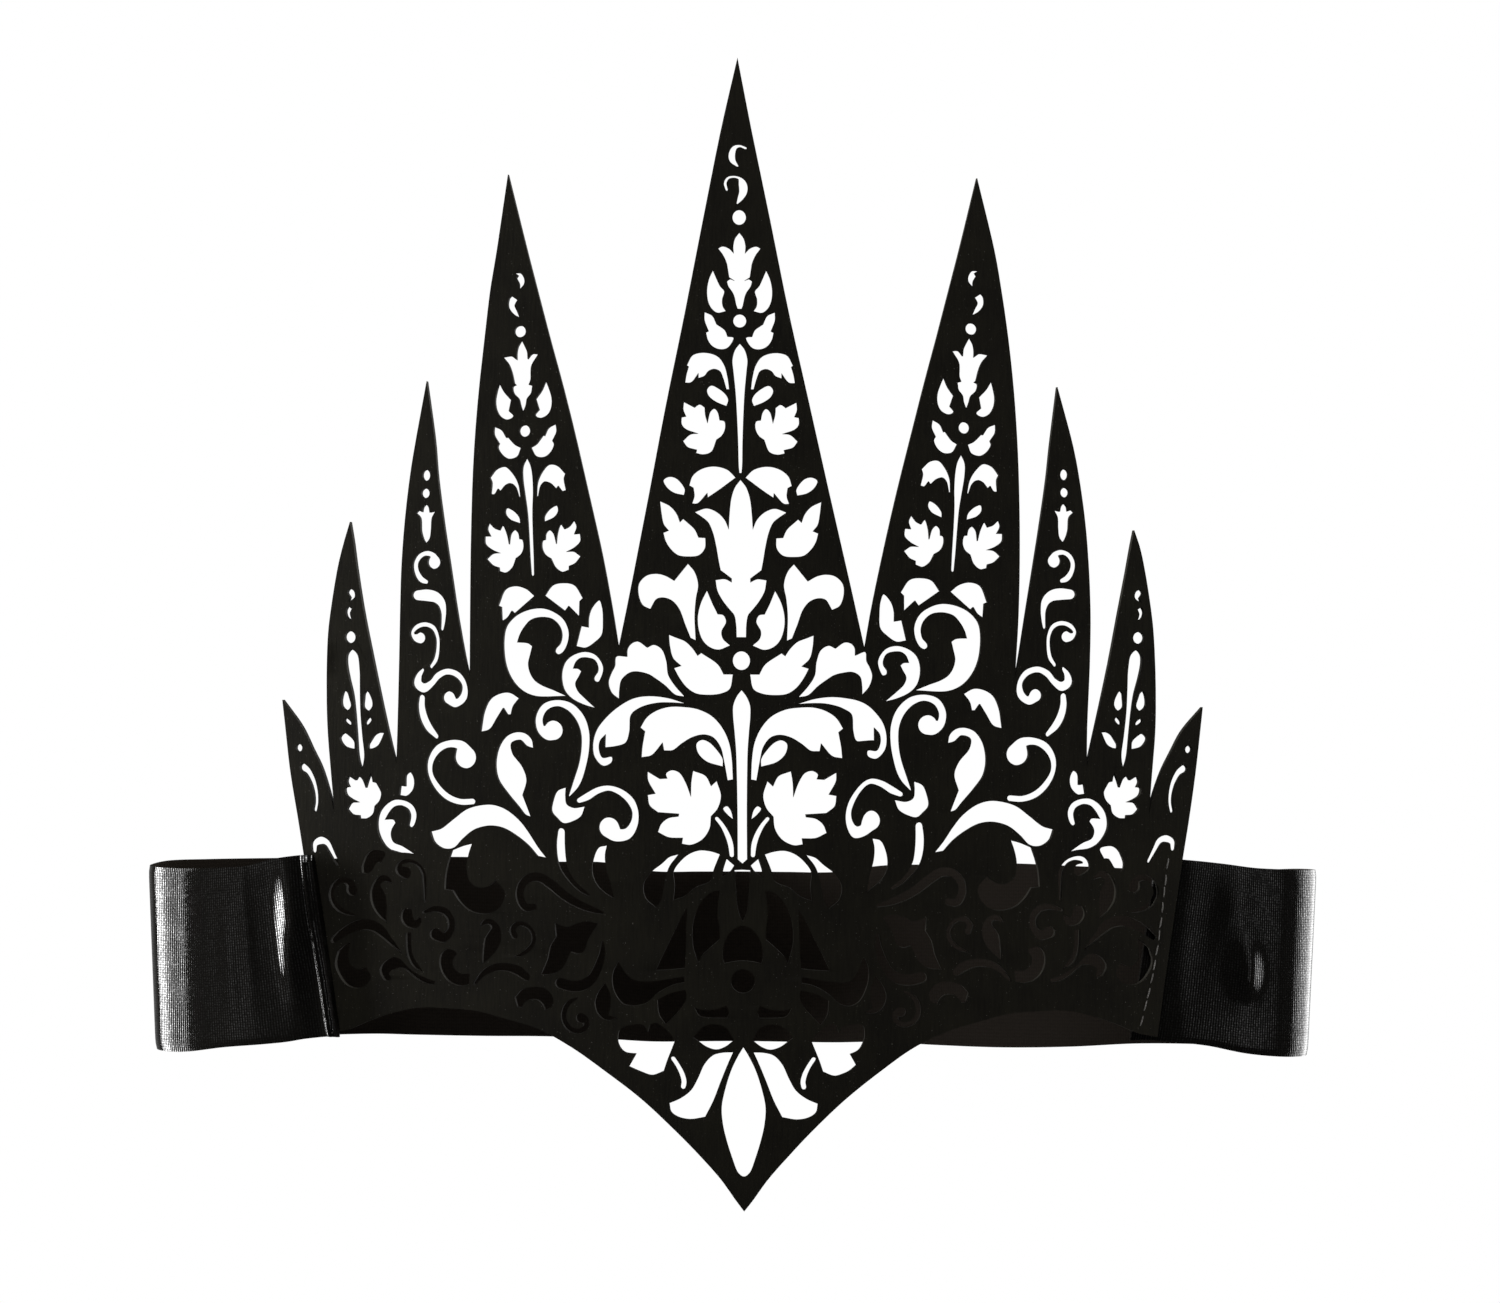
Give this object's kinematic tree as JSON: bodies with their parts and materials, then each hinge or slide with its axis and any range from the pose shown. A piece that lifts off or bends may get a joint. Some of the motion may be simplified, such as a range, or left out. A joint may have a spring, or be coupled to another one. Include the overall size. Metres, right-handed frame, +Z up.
{
  "type": "costume crown",
  "caption": "Tall spiked black costume crown: a flat sheet pierced with damask foliage, curved round the brow, on a wide stretch band that goes round behind the head.",
  "frame": {"origin": "middle of the head opening: 40 mm behind the front of the sheet's middle, at about the middle height of the band", "axes": "+Z up, -Y towards the front of the crown, +X to the viewer's right from the front"},
  "size_m": [0.2619, 0.0826, 0.2495],
  "materials": {
    "crown_panel": "matte black felt-like leatherette",
    "strap": "glossy wet-look coated stretch knit, matte inside"
  },
  "bodies": {
    "root": {"crown_panel": "crown_panel", "strap": "strap"}
  },
  "joints": []
}
